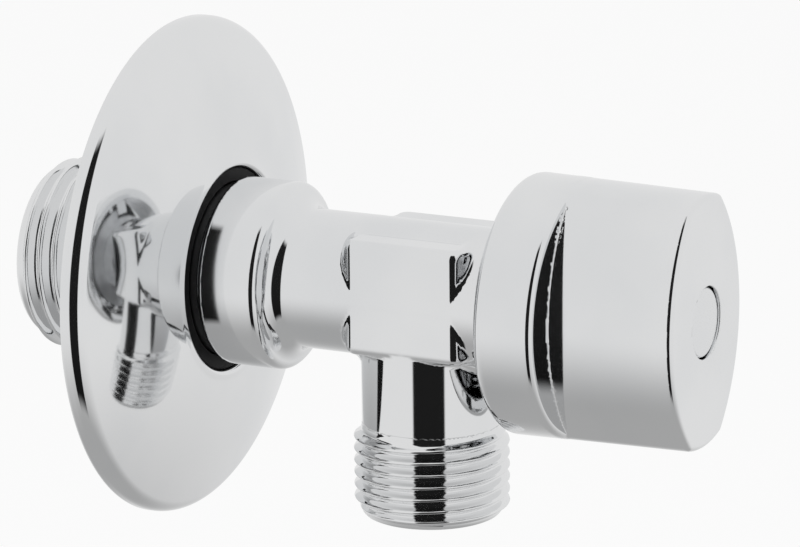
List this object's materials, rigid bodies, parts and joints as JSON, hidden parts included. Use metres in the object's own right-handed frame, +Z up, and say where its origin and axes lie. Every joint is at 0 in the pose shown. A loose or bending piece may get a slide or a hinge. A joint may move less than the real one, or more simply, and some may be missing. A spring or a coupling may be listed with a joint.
{
  "type": "angle ball valve",
  "caption": "Chromed angle ball valve with a round wall plate, a coaxial quarter-turn knob and a threaded outlet pointing down.",
  "frame": {"origin": "on the inlet axis, in the plane of the finished wall, at the back of the wall plate", "axes": "+X out of the wall along the inlet, body and stem, +Z up, the outlet points along -Z"},
  "size_m": [0.0771, 0.054, 0.054],
  "materials": {
    "chromed_brass": "polished chrome plate",
    "chromed_sheet": "polished chrome plate",
    "chromed_knob": "polished chrome plate",
    "chromed_cap": "polished chrome plate",
    "chromed_ball": "hard chrome plate, polished",
    "plain_brass": "turned, unplated",
    "seat_white": "smooth, waxy",
    "black_rubber": "smooth moulded",
    "bright_steel": "zinc plated",
    "spring_steel": "phosphated, dark"
  },
  "bodies": {
    "valve_body": {"body": "chromed_brass", "inlet_retainer": "plain_brass", "inlet_seat": "seat_white", "outlet_seat": "seat_white", "outlet_seat_ring": "black_rubber", "thrust_washer": "seat_white", "gland_nut": "plain_brass", "gland_ring": "black_rubber", "stop_disc": "bright_steel", "stop_clip": "spring_steel"},
    "plate": {"wall_plate": "chromed_sheet", "plate_ring": "black_rubber"},
    "handle": {"knob": "chromed_knob", "stem": "plain_brass", "ball": "chromed_ball", "stem_ring_inner": "black_rubber", "stem_ring_outer": "black_rubber", "screw_washer": "bright_steel", "knob_screw": "bright_steel", "index_cap": "chromed_cap"}
  },
  "joints": [
    {"name": "quarter_turn", "type": "hinge", "parent": "valve_body", "child": "handle", "pos_m": [0.03, 0, 0], "axis": [1, 0, 0], "range_deg": [-90, 0]},
    {"name": "plate_slide", "type": "slide", "parent": "valve_body", "child": "plate", "axis": [1, 0, 0], "range_m": [-0.006, 0]}
  ]
}
